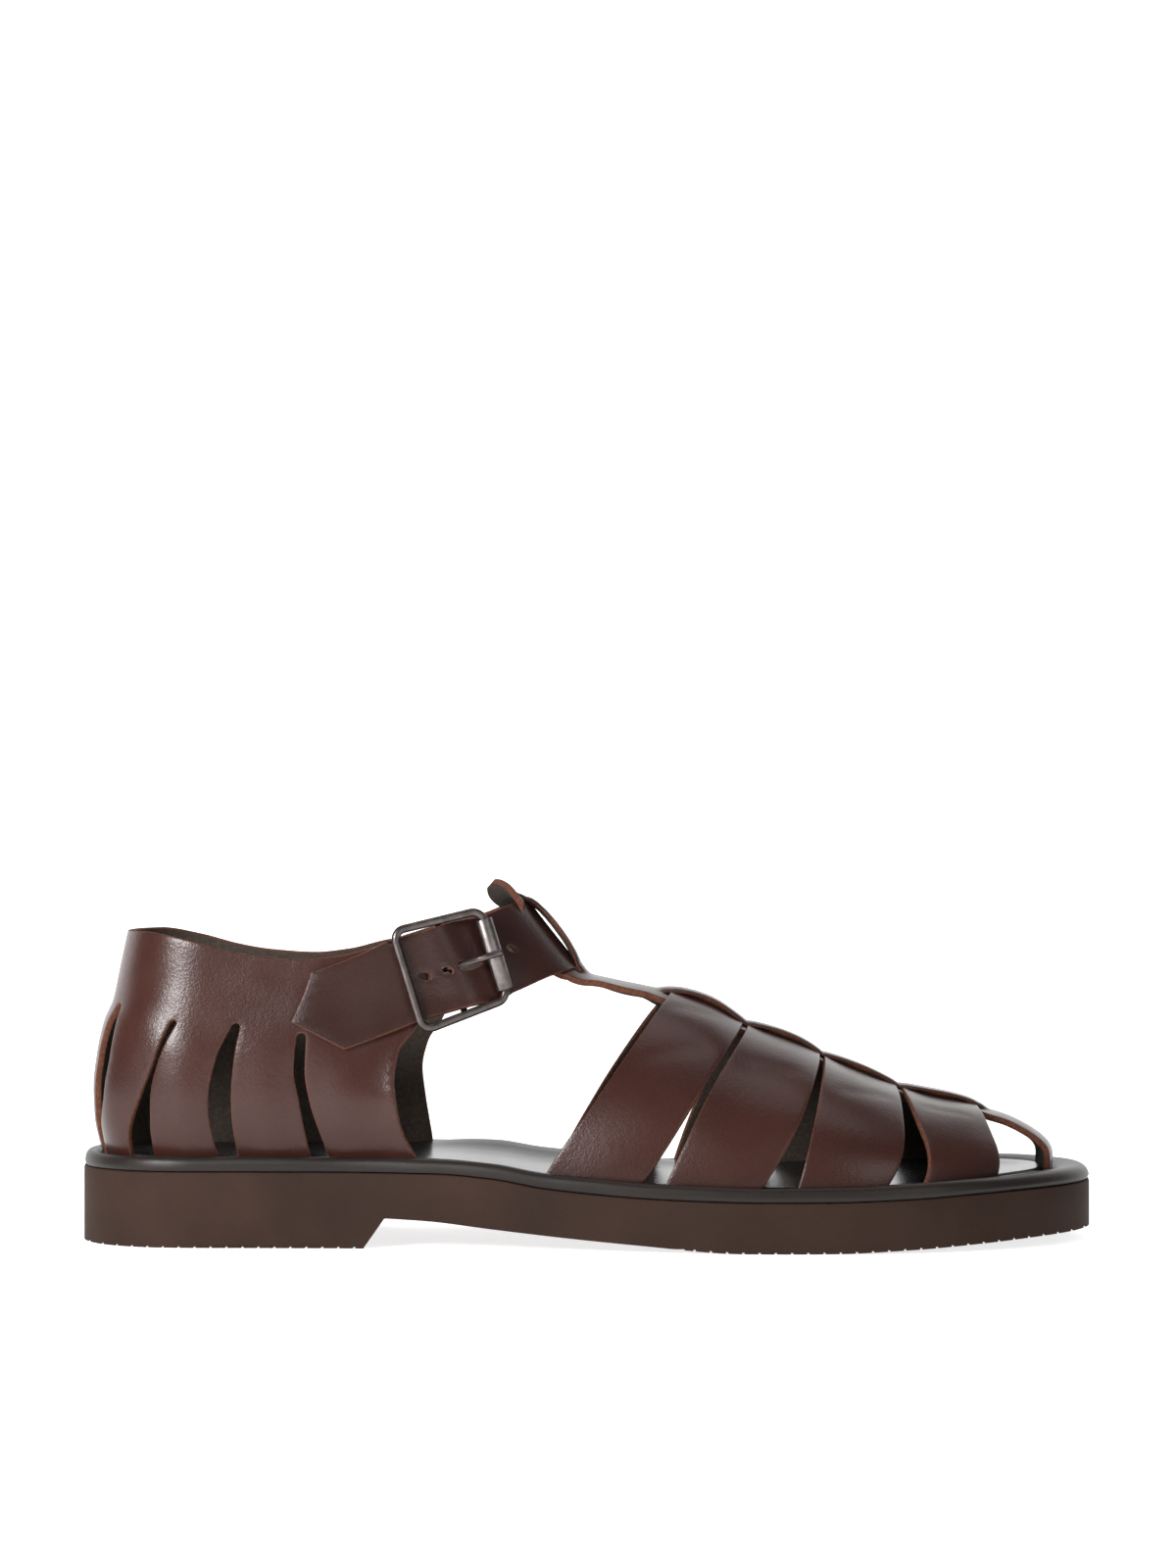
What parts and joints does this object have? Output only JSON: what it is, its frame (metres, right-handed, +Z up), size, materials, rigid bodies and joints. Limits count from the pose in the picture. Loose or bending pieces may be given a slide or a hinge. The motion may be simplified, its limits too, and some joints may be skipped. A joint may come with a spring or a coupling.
{
  "type": "fisherman sandal",
  "caption": "Closed-back fisherman sandal for the right foot, with woven cross straps, a leather centre bar, a slit heel quarter and a buckled ankle strap.",
  "frame": {"origin": "on the floor under the middle of the sole's length and width", "axes": "+X towards the toe, +Y towards the medial side, +Z up"},
  "size_m": [0.29, 0.1062, 0.1033],
  "materials": {
    "sole_rubber": "matte moulded dark brown rubber unit",
    "edge_leather": "satin black-brown wrapped edge",
    "deck_leather": "satin charcoal leather deck",
    "strap_leather": "smooth dark reddish-brown leather with a soft sheen",
    "buckle_metal": "antique gunmetal, brushed on the roller"
  },
  "bodies": {
    "root": {"outsole": "sole_rubber", "midsole": "edge_leather", "insole": "deck_leather", "upper": "strap_leather", "buckle_frame": "buckle_metal", "buckle_roller": "buckle_metal", "buckle_prong": "buckle_metal"}
  },
  "joints": []
}
